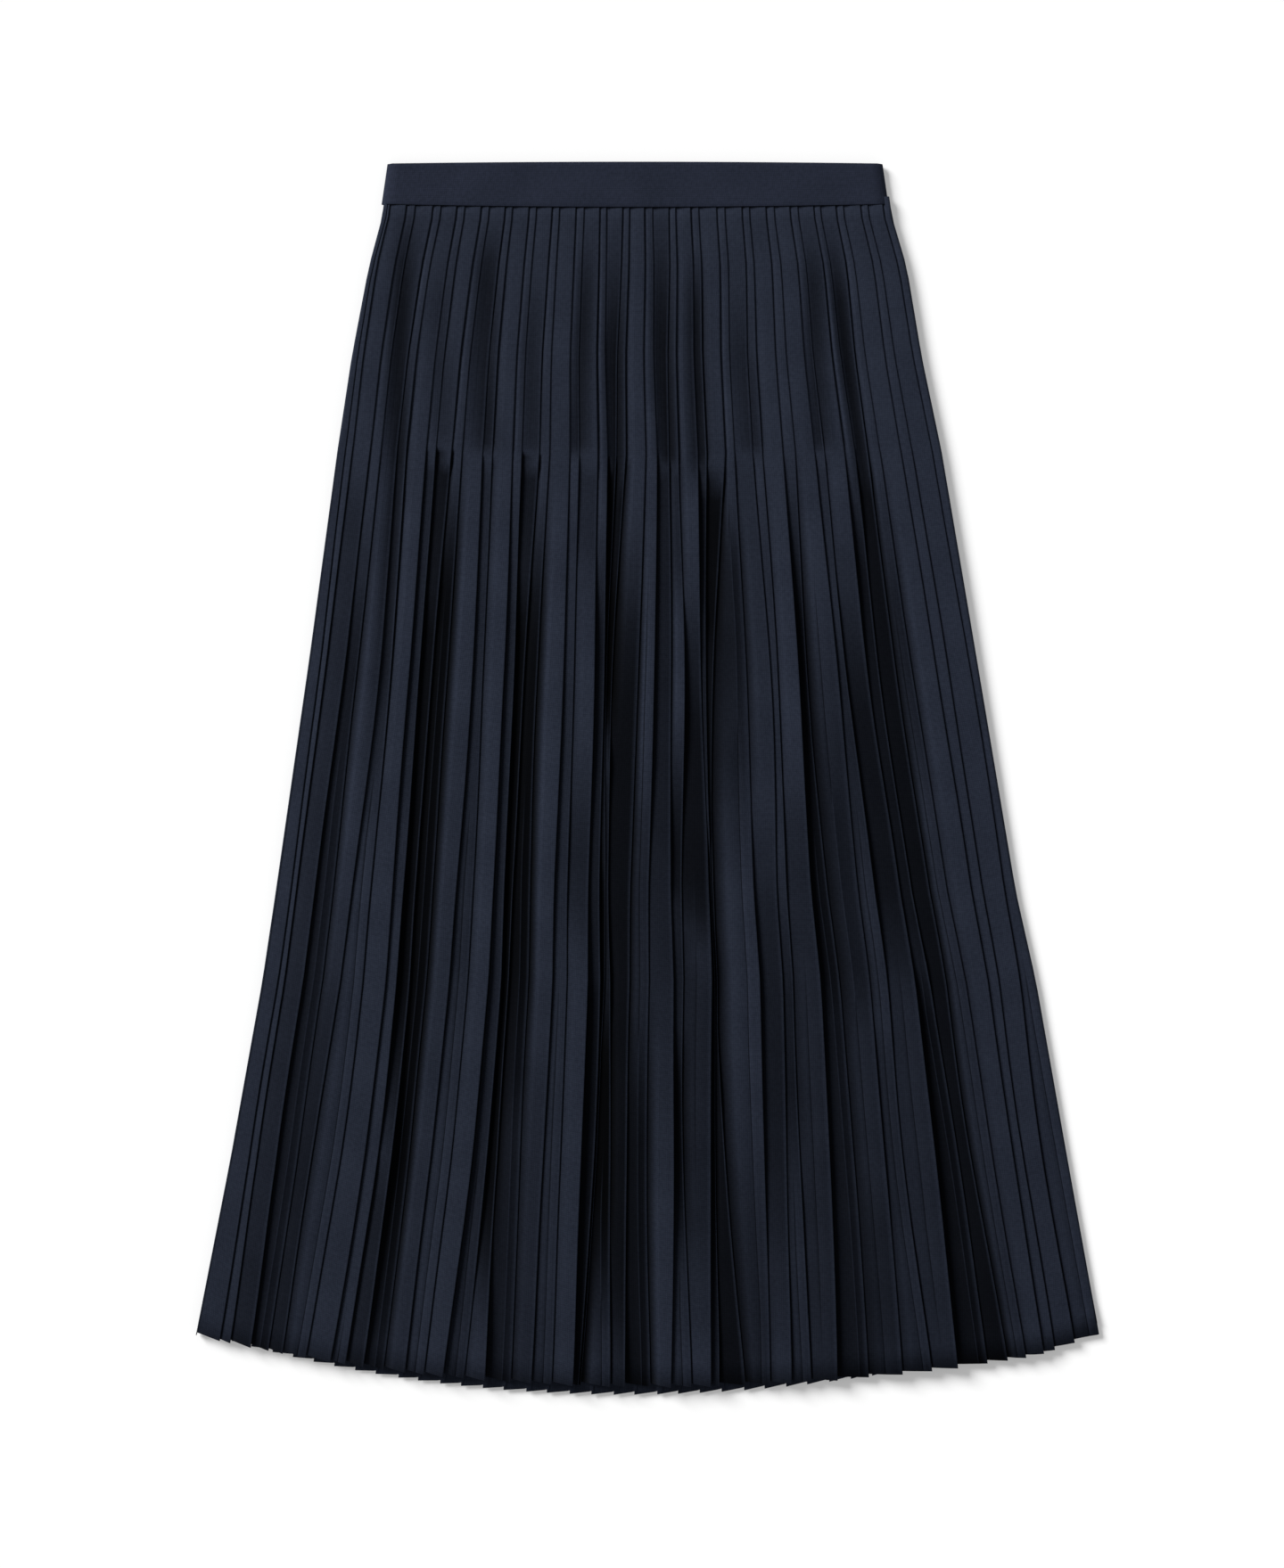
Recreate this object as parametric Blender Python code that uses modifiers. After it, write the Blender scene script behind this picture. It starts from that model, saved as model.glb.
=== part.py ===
"""A knife-pleated midi skirt, laid flat: a plain waistband and two pleated panels, front over back.

Metres, +Z up. The skirt lies on the surface at Z = 0, waistband towards +Y, front panel uppermost.
The origin is under the middle of the whole skirt. Lengths below are in millimetres, and MM turns
them into metres where the meshes are made.
"""

from collections import namedtuple

import bmesh
import bpy
import numpy as np

MM = 0.001

# The cloth: each wall is 1 mm thick, and the layers of a pressed pleat lie 0.5 mm apart.
CLOTH = 1.0
LAYER = 1.5
SEAM_GAP = 0.3
PRESSED = 2 * LAYER

# The waistband is a doubled strip, stiffer and thicker than the pleats below it.
BAND_CLOTH = 2.2
BAND_TOP_Y = 413.35
BAND_TOP_WIDTH = 332.4
BAND_FOOT_WIDTH = 341.6
BAND_CENTRE_X = -8.0
BAND_TOP_BOW = 1.2
BAND_FOOT_BOW = 2.0
BAND_FOLD_RADIUS = 2.6
BAND_FOLD_STEPS = 4
BAND_FLAT_STEPS = 11

# The two panels lie on each other, and at each side fold they turn towards each other.
PANEL_DEPTH = PRESSED + CLOTH
FRONT_HEIGHT = PANEL_DEPTH + SEAM_GAP
SEAM_Y = 383.95

# Side edges of the pleated cloth: how far below the waist seam, and where its two edges are.
Edge = namedtuple("Edge", "down left right")
SIDE_EDGES = [
    Edge(0, -177.6, 162.9),
    Edge(40, -187.5, 173.0),
    Edge(100, -198.9, 184.0),
    Edge(164, -208.6, 197.4),
    Edge(300, -227.0, 220.5),
    Edge(460, -250.0, 247.5),
    Edge(520, -259.0, 261.0),
    Edge(640, -280.5, 282.3),
    Edge(760, -304.0, 304.0),
    Edge(800, -312.0, 311.0),
]

# Each hem is an arc: its drop below the waist seam, its radius, and where across it is lowest.
Hem = namedtuple("Hem", "drop radius lowest")
HEM_WIDTH = 608.0
FRONT_HEM = Hem(drop=791.5, radius=1393.0, lowest=0.50)
BACK_HEM = Hem(drop=798.5, radius=960.0, lowest=0.474)
# An inner fold is pulled up a little at the hem, which makes the hem's small steps.
HEM_STEP = 1.5

# Pleats come in pairs, a wide one then a narrow one, all turned the same way round the body.
# The wide folds are spread evenly, and these two are shares of the panel's width. Pair 0 has its
# wide fold at the left side fold, and pair 21 its narrow one at the right, which leaves 42 folds.
PAIRS = 22
FIRST_WIDE = -0.0033
PAIR_PITCH = 0.0470
# They are sewn down as far as the release line, a share of the way from the waist to the hem.
RELEASE = 0.21
# For each share of the way down: how wide a strip shows beside each wide fold, and how far the
# cloth goes back under a wide and under a narrow fold.
Level = namedtuple("Level", "down narrow wide_return narrow_return")
LEVELS = [
    Level(0.0, 5.4, 7.8, 2.4),
    Level(RELEASE, 6.8, 7.8, 2.8),
    Level(0.6, 10.4, 4.5, 3.4),
    Level(1.0, 14.0, 1.2, 3.0),
]
# Least room that a pleat needs beyond its return, and least space from one fold to the next.
RETURN_ROOM = 2.9
LEAST_SPACE = 4.0
# Beside a fold, the cloth from under it comes up between these two distances.
RAMP_START = 1.0
RAMP_END = 2.0

# The front's pairs as they lie, at the same levels as above from the release line down: how far the
# wide fold has slid from its even place, and the width of the narrow strip beside it. The last
# column is how deep the pair sinks into a trough, 0 to 1.
Pair = namedtuple("Pair", "pair release middle hem narrow_release narrow_middle narrow_hem sunk")
FRONT_PAIRS = [
    Pair(0, 0, 0, 0, 11.0, 15.5, 26.5, 0.2),
    Pair(1, 4, 5, 11, 7.3, 11.5, 13.0, 0.3),
    Pair(2, 3, 6, 5, 6.0, 13.5, 15.0, 0.1),
    Pair(3, 3, 10, 9, 6.3, 7.5, 10.0, 0.2),
    Pair(4, 1, 2, 2, 7.6, 10.5, 14.5, 1.0),
    Pair(5, 3, 5, 3, 6.3, 11.0, 12.5, 0.0),
    Pair(6, 4, 7, 0, 6.6, 7.5, 13.5, 0.1),
    Pair(7, 3, -4, -1, 7.1, 12.0, 17.0, 1.0),
    Pair(8, 4, 2, 0, 6.6, 8.7, 13.5, 0.0),
    Pair(9, 4, 1, -2, 6.3, 7.0, 4.6, 0.5),
    Pair(10, -2, -11, -21, 5.9, 4.2, 17.5, 1.0),
    Pair(11, -1, -18, -23, 7.6, 13.0, 16.5, 0.4),
    Pair(12, -5, -14, -21, 6.4, 6.2, 14.0, 0.4),
    Pair(13, -5, -19, -23, 5.6, 4.0, 10.0, 0.2),
    Pair(14, -6, -34, -31, 6.3, 29.0, 18.0, 0.7),
    Pair(15, -6, -14, -28, 6.6, 6.2, 14.0, 0.1),
    Pair(16, -5, -13, -26, 8.5, 11.0, 21.5, 0.8),
    Pair(17, -3, -5, -11, 6.4, 11.5, 20.0, 0.3),
    Pair(18, -1, -1, -2, 6.8, 8.7, 19.5, 0.9),
    Pair(19, -5, -3, 2, 7.8, 11.5, 12.5, 0.9),
    Pair(20, -2, 0, -1, 7.3, 8.3, 7.5, 0.0),
    Pair(21, 0, 0, -8, 4.5, 5.5, 9.0, 0.0),
]
# Between troughs the loose cloth rises this far off the panel below, and is all up half way down.
TROUGH_DEPTH = 2.2
ALL_UP = 0.5
# Towards the hem its folds stand up, the wide ones more, and less where they lie close together.
WIDE_STAND = 3.2
NARROW_STAND = 0.8
STAND_ROOM = 6.0
# Between its folds a loose face sags, but passes this far above its own inner fold.
FACE_SAG = 1.6
FACE_CLEAR = LAYER + CLOTH + 0.45

FRONT_ROWS = [0.0, RELEASE, 0.32, 0.46, 0.60, 0.80, 1.0]
BACK_ROWS = [0.0, RELEASE, 0.60, 1.0]

NAVY = (0.0185, 0.0228, 0.0420, 1.0)


def smooth(x):
    """0 up to x = 0, 1 from x = 1, and an even curve between."""
    x = np.clip(x, 0.0, 1.0)
    return x * x * (3 - 2 * x)


def across(table, column, down):
    return np.interp(down, [row.down for row in table], [getattr(row, column) for row in table])


def place(hem, share, down):
    """X and Y, for a share of the way across and a share of the way down to this hem."""
    off_lowest = (share - hem.lowest) * HEM_WIDTH
    to_hem = hem.drop - off_lowest**2 / (2 * hem.radius)
    bow = BAND_FOOT_BOW * (2 * share - 1) ** 2
    below = down * to_hem - (1 - down) * bow
    left = across(SIDE_EDGES, "left", below)
    right = across(SIDE_EDGES, "right", below)
    return left + share * (right - left), SEAM_Y - below


def width_at(down):
    below = down * FRONT_HEM.drop
    return across(SIDE_EDGES, "right", below) - across(SIDE_EDGES, "left", below)


def even_folds(down):
    """How far across each fold lies when the pairs are even, and how deep it sinks."""
    folds = []
    for pair in range(PAIRS):
        wide = (FIRST_WIDE + pair * PAIR_PITCH) * width_at(down)
        folds += [wide, wide + across(LEVELS, "narrow", down)]
    return np.array(folds[1:-1]), np.zeros(2 * PAIRS - 2)


def front_folds(down):
    """The same for the front as it lies; a narrow fold sinks as the pairs on its two sides do."""
    downs = [level.down for level in LEVELS]
    folds = []
    sunk = []
    for row, following in zip(FRONT_PAIRS, FRONT_PAIRS[1:] + FRONT_PAIRS[-1:]):
        even = (FIRST_WIDE + row.pair * PAIR_PITCH) * width_at(down)
        wide = even + np.interp(down, downs, [0.0, row.release, row.middle, row.hem])
        narrows = [LEVELS[0].narrow, row.narrow_release, row.narrow_middle, row.narrow_hem]
        folds += [wide, wide + np.interp(down, downs, narrows)]
        sunk += [row.sunk, (row.sunk + following.sunk) / 2]
    return np.array(folds[1:-1]), np.array(sunk[1:-1])


def panel_row(hem, folds_at, down, loose):
    """One section across a panel: the middle line of its cloth, left edge to right, outer side up.

    Each pleat's face comes up from under the fold before it and runs to its own fold. There the
    cloth turns under, goes back by the return and turns again to pass beneath its own fold.
    """
    folds, sunk = folds_at(down)
    width = width_at(down)
    space = np.diff(folds, prepend=0.0)
    wide = np.arange(len(folds)) % 2 == 1
    wide_return = across(LEVELS, "wide_return", down)
    narrow_return = across(LEVELS, "narrow_return", down)
    room = np.maximum(space, LEAST_SPACE) - RETURN_ROOM
    returns = np.minimum(np.where(wide, wide_return, narrow_return), room)
    opened = loose * smooth((down - RELEASE) / (1 - RELEASE))
    lift = loose * TROUGH_DEPTH * (1 - sunk) * smooth(down / ALL_UP)
    upright = np.clip((space - LEAST_SPACE) / STAND_ROOM, 0, 1)
    stand = PRESSED + opened * upright * np.where(wide, WIDE_STAND, NARROW_STAND)

    # Millimetres across, height of the cloth's middle, and 1 for an inner fold.
    edge = CLOTH / 2
    line = [(edge, -edge, 0), (edge, lift[0] + PRESSED, 0)]
    for i, fold in enumerate(folds):
        inner = fold - returns[i]
        if i:
            before = folds[i - 1]
            slack = max(inner - RAMP_START - RAMP_END - before, 0.0)
            face = before + RAMP_END + opened * slack / 2
            clear = FACE_CLEAR * (fold - face) - stand[i] * (inner - edge - face)
            clear = clear / (returns[i] + edge)
            line.append((before + RAMP_START, lift[i - 1], 0))
            line.append((face, lift[i] + max(PRESSED - opened * FACE_SAG, clear), 0))
        line.append((fold, lift[i] + stand[i], 0))
        line.append((fold, lift[i] + stand[i] - LAYER, 0))
        line.append((inner, lift[i] + LAYER, 1))
        line.append((inner, lift[i], 1))
    line.append((folds[-1] + RAMP_START, lift[-1], 0))
    line.append((folds[-1] + RAMP_END, lift[-1] + PRESSED, 0))
    line += [(width - edge, lift[-1] + PRESSED, 0), (width - edge, -edge, 0)]

    points = []
    for across_mm, height, is_inner in line:
        x, y = place(hem, across_mm / width, down)
        points.append((x, y + is_inner * HEM_STEP * down, height))
    return np.array(points)


def band_row(depth):
    """One section across the waistband, from one side fold to the other, outer side up."""
    half = (BAND_TOP_WIDTH + depth * (BAND_FOOT_WIDTH - BAND_TOP_WIDTH)) / 2 - BAND_CLOTH / 2
    turn = BAND_FOLD_RADIUS
    outer = PANEL_DEPTH - BAND_CLOTH / 2
    angles = np.radians(np.linspace(90, 0, BAND_FOLD_STEPS))
    fold = [(half - turn + turn * np.cos(a), outer - turn + turn * np.sin(a)) for a in angles]
    flat = [(x, outer) for x in np.linspace(-half + turn, half - turn, BAND_FLAT_STEPS)[1:-1]]
    line = [(-half, 0.0)] + [(-x, z) for x, z in reversed(fold)] + flat + fold + [(half, 0.0)]
    top, foot = BAND_TOP_Y, SEAM_Y + SEAM_GAP
    points = []
    for x, z in line:
        level = (x / half) ** 2
        upper = top + BAND_TOP_BOW * (1 - level)
        lower = foot + BAND_FOOT_BOW * level
        points.append((BAND_CENTRE_X + x, upper + depth * (lower - upper), z))
    return np.array(points)


def turned_over(rows):
    """The same piece as the underside: turned round Y, so that its outer side faces down."""
    centres = [(row[0, 0] + row[-1, 0]) / 2 for row in rows]
    return [row * (-1, 1, -1) + (2 * centre, 0, 0) for row, centre in zip(rows, centres)]


def cloth_piece(name, rows, thickness, height, material, collection):
    """A sheet lofted through its rows, made solid by a Solidify modifier."""
    mesh = bpy.data.meshes.new(name)
    bm = bmesh.new()
    grid = [[bm.verts.new((x * MM, y * MM, (z + height) * MM)) for x, y, z in row] for row in rows]
    for upper, lower in zip(grid, grid[1:]):
        for i in range(len(upper) - 1):
            bm.faces.new((upper[i], lower[i], lower[i + 1], upper[i + 1]))
    bm.to_mesh(mesh)
    bm.free()
    mesh.materials.append(material)
    piece = bpy.data.objects.new(name, mesh)
    collection.objects.link(piece)
    solid = piece.modifiers.new("cloth", "SOLIDIFY")
    solid.thickness = thickness * MM
    solid.offset = 0
    solid.use_even_offset = True
    solid.use_quality_normals = True
    return piece


def navy_crepe():
    material = bpy.data.materials.new("navy_crepe")
    material.use_nodes = True
    shader = material.node_tree.nodes["Principled BSDF"]
    shader.inputs["Base Color"].default_value = NAVY
    shader.inputs["Roughness"].default_value = 0.8
    shader.inputs["Metallic"].default_value = 0.0
    return material


for old in list(bpy.data.objects):
    bpy.data.objects.remove(old)
skirt = bpy.data.collections.new("pleated_midi_skirt")
bpy.context.scene.collection.children.link(skirt)
crepe = navy_crepe()

front_rows = [panel_row(FRONT_HEM, front_folds, down, loose=1.0) for down in FRONT_ROWS]
back_rows = [panel_row(BACK_HEM, even_folds, down, loose=0.0) for down in BACK_ROWS]
band_rows = [band_row(depth) for depth in (0.0, 0.5, 1.0)]

cloth_piece("front_panel", front_rows, CLOTH, FRONT_HEIGHT + CLOTH / 2, crepe, skirt)
cloth_piece("back_panel", turned_over(back_rows), CLOTH, PANEL_DEPTH - CLOTH / 2, crepe, skirt)
cloth_piece("waistband_front", band_rows, BAND_CLOTH, FRONT_HEIGHT, crepe, skirt)
cloth_piece("waistband_back", turned_over(band_rows), BAND_CLOTH, PANEL_DEPTH, crepe, skirt)
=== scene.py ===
"""The visible model of a knife-pleated midi skirt, laid flat on a pale floor.

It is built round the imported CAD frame. Lengths are in millimetres, and are turned into metres where
a mesh is placed. The camera's and the floor's are in metres.
"""

import math
from collections import namedtuple

import bmesh
import bpy
import numpy as np
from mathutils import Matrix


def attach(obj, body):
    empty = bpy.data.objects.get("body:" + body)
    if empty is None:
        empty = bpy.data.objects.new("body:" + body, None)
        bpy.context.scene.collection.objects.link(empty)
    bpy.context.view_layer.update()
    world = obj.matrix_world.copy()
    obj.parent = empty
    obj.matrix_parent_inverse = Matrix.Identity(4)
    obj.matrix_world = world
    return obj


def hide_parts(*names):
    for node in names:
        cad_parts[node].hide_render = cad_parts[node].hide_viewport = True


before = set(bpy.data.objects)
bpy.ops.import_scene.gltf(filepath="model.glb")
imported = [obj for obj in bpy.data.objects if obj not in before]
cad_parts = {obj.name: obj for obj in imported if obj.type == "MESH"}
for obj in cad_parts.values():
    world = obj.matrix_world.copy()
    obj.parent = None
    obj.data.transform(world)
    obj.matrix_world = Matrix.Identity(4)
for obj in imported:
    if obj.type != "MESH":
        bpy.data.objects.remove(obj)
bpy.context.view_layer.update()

# ---- The camera -------------------------------------------------------------------------------
# It looks straight down on the skirt, and the waistband is at the top of the picture. What it sees
# at the level of the cloth has this centre and this height; the lens and the sensor are in mm.
CLOTH_LEVEL = 0.003
VIEW_CENTRE = (-0.0039, -0.0036)
VIEW_HEIGHT = 1.0554
LENS = 85.0
SENSOR = 36.0
NEAREST = 0.1
FARTHEST = 20.0

lens = bpy.data.cameras.new("camera")
lens.lens = LENS
lens.sensor_fit = "VERTICAL"
lens.sensor_height = SENSOR
lens.clip_start = NEAREST
lens.clip_end = FARTHEST
camera = bpy.data.objects.new("camera", lens)
camera.location = (*VIEW_CENTRE, CLOTH_LEVEL + VIEW_HEIGHT * LENS / SENSOR)
bpy.context.scene.collection.objects.link(camera)
bpy.context.scene.camera = camera

# ---- The front panel --------------------------------------------------------------------------
# Navy crepe, pleated before it is sewn: 43 knife folds in pairs, a wide pleat then a narrow one,
# all turned the same way round the body. They are sewn down to the release line and hang free
# below it.
MM = 0.001

# The cloth's thickness, from one layer to the next, and from a pleat's face to the cloth under it.
CLOTH = 0.22
LAYER = 0.31
STACK = 2 * LAYER

# The waist seam, and where the side edges are at distances below it. The seam bows down a little
# towards them.
SEAM_Y = 383.95
BAND_FOOT_BOW = 2.0
Edge = namedtuple("Edge", "down left right")
SIDE_EDGES = [
    Edge(0, -176.8, 162.2),
    Edge(40, -187.5, 174.0),
    Edge(100, -198.9, 184.0),
    Edge(164, -208.6, 197.4),
    Edge(300, -227.0, 220.5),
    Edge(460, -250.0, 247.5),
    Edge(520, -259.0, 261.0),
    Edge(640, -280.5, 282.3),
    Edge(760, -304.0, 304.0),
    Edge(800, -312.0, 311.0),
]
# A hem is an arc to each side of its lowest point: its drop below the waist seam, the two radii,
# the share of the way across where it is lowest, and how far its right corner lifts. Behind a fold
# the cloth is pulled up by as much as HEM_STEP, which makes the hem's small teeth.
Hem = namedtuple("Hem", "drop left_radius right_radius lowest corner_lift")
FRONT_HEM = Hem(
    drop=792.5, left_radius=1393.0, right_radius=1560.0, lowest=0.51, corner_lift=6.5
)
HEM_WIDTH = 608.0
HEM_STEP = 2.2
CORNER_FROM = 245.0
CORNER_WIDE = 60.0

# The wide folds' even places, as shares of the width, and the shares of the way from the waist to
# the hem at which the pairs below are given.
FIRST_WIDE = -0.0033
PAIR_PITCH = 0.0470
RELEASE = 0.21
LEVELS = (0.0, RELEASE, 0.4, 0.6, 0.8, 1.0)

# How far each wide fold has slid from its even place, the width of the narrow strip beside it, and
# how high the wide fold stands, as a share of the usual.
Pair = namedtuple("Pair", "number slid narrow stand")
FRONT_PAIRS = [
    Pair(0, (2.2, 6.5, 8.5, 11.5, 14, 19), (2.3, 4.5, 4.5, 4.5, 4.5, 7), 0.5),
    Pair(1, (0, 4, 4.5, 5, 6, 11.5), (6, 7.5, 9.5, 11.5, 13.5, 13.5), 1.3),
    Pair(2, (2, 3, 8, 6, 3.5, 5.5), (5.5, 6, 7, 13.5, 19.5, 15.5), 1.2),
    Pair(3, (2, 3.5, 6.5, 10.5, 12.5, 9.5), (5.5, 6.5, 6.5, 7.5, 9, 10), 1.0),
    Pair(4, (2.5, 1.5, 0, 2.5, 4.5, 2.5), (5.5, 7.5, 10.5, 10.5, 11.5, 15), 1.5),
    Pair(5, (2.5, 3.5, 7, 5.5, 4, 3), (5, 6.5, 7, 11.5, 13.5, 13), 1.0),
    Pair(6, (2.5, 4.5, 7, 7, 5.5, 0), (5, 6.5, 6, 7.5, 10.5, 14), 1.3),
    Pair(7, (2, 3.5, -1.5, -3.5, -4, -1), (5, 7, 8.5, 12, 15.5, 17.5), 1.4),
    Pair(8, (2, 4.5, 4, 2, 0, 0.5), (5.5, 6.5, 6.5, 9, 12, 13.5), 1.0),
    Pair(9, (2, 4.5, 3, 1, 0, -0.5), (4.5, 6.5, 7, 8, 8, 3.5), 1.3),
    Pair(10, (1.5, -2, -9.5, -11.5, -18, -27), (4.5, 6, 4, 2.5, 10, 23), 1.2),
    Pair(11, (0, -1.5, -10, -18.5, -22.5, -23.5), (5.5, 7.5, 11.5, 13, 12.5, 17), 1.2),
    Pair(12, (0.5, -5, -8.5, -14, -18, -21.5), (4.5, 6.5, 8.5, 6.5, 7, 14), 1.2),
    Pair(13, (-1, -4.5, -10, -12.5, -19, -23.5), (5.5, 5.5, 3, 2.5, 3, 4.5), 1.2),
    Pair(14, (0.5, -5.5, -23.5, -34, -36, -30), (5.5, 6.5, 22.5, 28.5, 27, 17), 1.0),
    Pair(15, (1.5, -6, -6, -13.5, -20.5, -28), (5, 6.5, 5.5, 6.5, 8, 14), 0.9),
    Pair(16, (1.5, -5, -8, -13, -18.5, -26.5), (5.5, 8.5, 6, 11, 16, 22), 1.5),
    Pair(17, (1.5, -2.5, -3.5, -5, -7.5, -11.5), (5.5, 6.5, 6.5, 11.5, 11, 20.5), 1.0),
    Pair(18, (1.5, -1.5, -4, -0.5, -0.5, -2), (4.5, 7, 8, 9, 14.5, 20), 1.4),
    Pair(19, (0.5, -5, -6.5, -3, -3.5, 2.5), (5, 8, 11.5, 11.5, 14, 13), 0.9),
    Pair(20, (1, -2, 0, 0.5, -1.5, -0.5), (5, 7.5, 7.5, 8.5, 7, 7), 0.8),
    Pair(21, (0, 0, 1, 0, -7, -8), (5, 6, 6, 8, 14, 16), 0.7),
]

# Soft hollows that cross the sewn pleats. Places are counted in strips from the left edge, two to a
# pair, and a hollow leans from its start to its finish. It begins, is full, holds until and ends at
# shares of the way down.
Hollow = namedtuple("Hollow", "start finish reach begins full holds ends depth")
# A hollow's depth sets both how far the cloth sinks and how much shade is painted into it.
FRONT_HOLLOWS = [
    Hollow(3.3, 5.7, 1.1, -0.02, 0.08, 0.22, 0.27, 0.72),
    Hollow(5.2, 5.7, 0.9, 0.12, 0.22, 0.34, 0.62, 0.62),
    Hollow(6.6, 8.6, 1.2, 0.02, 0.10, 0.19, 0.22, 0.28),
    Hollow(10.2, 11.6, 1.2, 0.01, 0.06, 0.20, 0.22, 0.58),
    Hollow(14.2, 14.8, 1.0, 0.03, 0.13, 0.20, 0.22, 0.38),
    Hollow(18.5, 17.9, 0.9, 0.00, 0.10, 0.20, 0.22, 0.58),
    Hollow(20.7, 21.1, 1.25, 0.00, 0.14, 0.22, 0.26, 0.86),
    Hollow(24.4, 25.1, 1.2, -0.03, 0.13, 0.21, 0.23, 0.82),
    Hollow(27.4, 27.5, 1.1, 0.02, 0.10, 0.21, 0.24, 0.72),
    Hollow(30.4, 31.3, 1.2, 0.02, 0.16, 0.20, 0.22, 0.42),
    Hollow(36.7, 35.7, 1.0, 0.00, 0.08, 0.20, 0.22, 0.52),
    Hollow(38.3, 38.6, 0.9, 0.00, 0.10, 0.24, 0.30, 0.78),
]

# Strips that drop between the waves where the cloth is loose. Each drops as far as its own folds,
# and begins, is full, holds until and ends as a hollow does.
Drop = namedtuple("Drop", "strip begins full holds ends depth")
# A drop's depth sets both how far the strip falls and how much shade is painted into it.
FRONT_DROPS = [
    Drop(2, 0.21, 0.27, 1.10, 1.20, 0.30),
    Drop(2, 0.80, 0.95, 1.10, 1.20, 0.40),
    Drop(3, 0.22, 0.42, 1.10, 1.20, 0.58),
    Drop(4, 0.52, 0.82, 1.10, 1.20, 0.52),
    Drop(7, 0.2085, 0.216, 0.36, 0.75, 0.34),
    Drop(8, 0.2085, 0.2135, 0.42, 0.55, 0.74),
    Drop(8, 0.26, 0.36, 0.66, 0.88, 0.92),
    Drop(8, 0.80, 0.84, 1.10, 1.20, 0.45),
    Drop(9, 0.19, 0.34, 0.80, 1.20, 1.00),
    Drop(10, 0.35, 0.55, 1.10, 1.20, 0.12),
    Drop(11, 0.2085, 0.22, 0.60, 0.85, 0.28),
    Drop(13, 0.21, 0.34, 0.80, 1.20, 0.34),
    Drop(14, 0.2085, 0.2135, 0.42, 0.55, 0.60),
    Drop(14, 0.23, 0.37, 0.82, 0.98, 1.00),
    Drop(15, 0.20, 0.39, 0.60, 1.00, 1.00),
    Drop(15, 0.60, 0.80, 1.10, 1.20, 0.58),
    Drop(16, 0.55, 0.85, 1.00, 1.20, 0.25),
    Drop(17, 0.21, 0.30, 1.10, 1.20, 0.14),
    Drop(17, 0.30, 0.45, 0.55, 0.70, 0.25),
    Drop(18, 0.2085, 0.2135, 0.27, 0.36, 0.26),
    Drop(18, 0.42, 0.54, 0.56, 0.66, 0.42),
    Drop(19, 0.24, 0.36, 1.10, 1.20, 0.55),
    Drop(19, 0.60, 0.68, 1.10, 1.20, 0.74),
    Drop(20, 0.2085, 0.22, 0.40, 0.46, 1.00),
    Drop(20, 0.2085, 0.2135, 1.10, 1.20, 0.72),
    Drop(20, 0.47, 0.58, 1.10, 1.20, 1.00),
    Drop(21, 0.2085, 0.225, 0.34, 0.50, 0.86),
    Drop(21, 0.22, 0.34, 0.40, 0.50, 1.12),
    Drop(21, 0.40, 0.50, 0.64, 0.74, 0.64),
    Drop(21, 0.58, 0.73, 0.82, 1.00, 1.12),
    Drop(22, 0.22, 0.42, 0.88, 1.06, 0.86),
    Drop(23, 0.44, 0.54, 0.72, 0.84, 0.38),
    Drop(23, 0.58, 0.80, 1.10, 1.20, 0.82),
    Drop(24, 0.20, 0.215, 0.48, 0.90, 0.54),
    Drop(25, 0.2085, 0.2135, 0.28, 0.36, 0.34),
    Drop(25, 0.40, 0.54, 0.56, 0.62, 0.78),
    Drop(25, 0.50, 0.60, 0.80, 1.00, 0.50),
    Drop(25, 0.62, 0.75, 0.80, 0.94, 0.80),
    Drop(26, 0.27, 0.45, 0.56, 0.67, 0.82),
    Drop(26, 0.60, 0.66, 0.82, 1.00, 0.42),
    Drop(27, 0.2085, 0.23, 0.30, 0.42, 0.66),
    Drop(27, 0.30, 0.36, 0.48, 0.58, 0.55),
    Drop(27, 0.48, 0.55, 0.80, 1.10, 0.95),
    Drop(28, 0.2085, 0.245, 0.34, 0.44, 1.00),
    Drop(28, 0.30, 0.36, 1.10, 1.20, 0.85),
    Drop(29, 0.215, 0.31, 0.36, 0.60, 0.62),
    Drop(29, 0.74, 0.90, 1.10, 1.20, 0.30),
    Drop(30, 0.20, 0.22, 0.50, 1.20, 0.14),
    Drop(30, 0.40, 0.70, 0.78, 1.02, 0.55),
    Drop(31, 0.21, 0.30, 1.10, 1.20, 0.16),
    Drop(31, 0.48, 0.70, 0.74, 0.90, 0.56),
    Drop(32, 0.44, 0.55, 0.90, 1.20, 0.34),
    Drop(33, 0.17, 0.38, 0.64, 0.80, 0.84),
    Drop(33, 0.60, 0.70, 1.10, 1.20, 0.68),
    Drop(34, 0.26, 0.56, 0.64, 0.78, 0.54),
    Drop(34, 0.60, 0.70, 1.10, 1.20, 0.30),
    Drop(34, 0.80, 0.86, 0.92, 1.10, 0.48),
    Drop(35, 0.2085, 0.216, 1.10, 1.20, 0.18),
    Drop(35, 0.30, 0.40, 0.48, 0.66, 0.40),
    Drop(35, 0.66, 0.74, 0.80, 1.00, 0.32),
    Drop(36, 0.24, 0.45, 0.56, 0.76, 0.76),
    Drop(36, 0.60, 0.70, 1.10, 1.20, 0.28),
    Drop(37, 0.19, 0.32, 0.60, 0.72, 0.76),
    Drop(37, 0.56, 0.70, 1.10, 1.20, 0.84),
    Drop(38, 0.20, 0.24, 1.10, 1.20, 0.86),
    Drop(39, 0.21, 0.25, 1.10, 1.20, 0.18),
    Drop(39, 0.22, 0.34, 0.40, 0.60, 0.48),
]


def smooth(x):
    """0 up to x = 0, 1 from x = 1, and an even curve between."""
    x = np.clip(x, 0.0, 1.0)
    return x * x * (3 - 2 * x)


def across(column, below):
    """Where a side edge is, so far below the waist seam."""
    downs = [row.down for row in SIDE_EDGES]
    return np.interp(below, downs, [getattr(row, column) for row in SIDE_EDGES])


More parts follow.
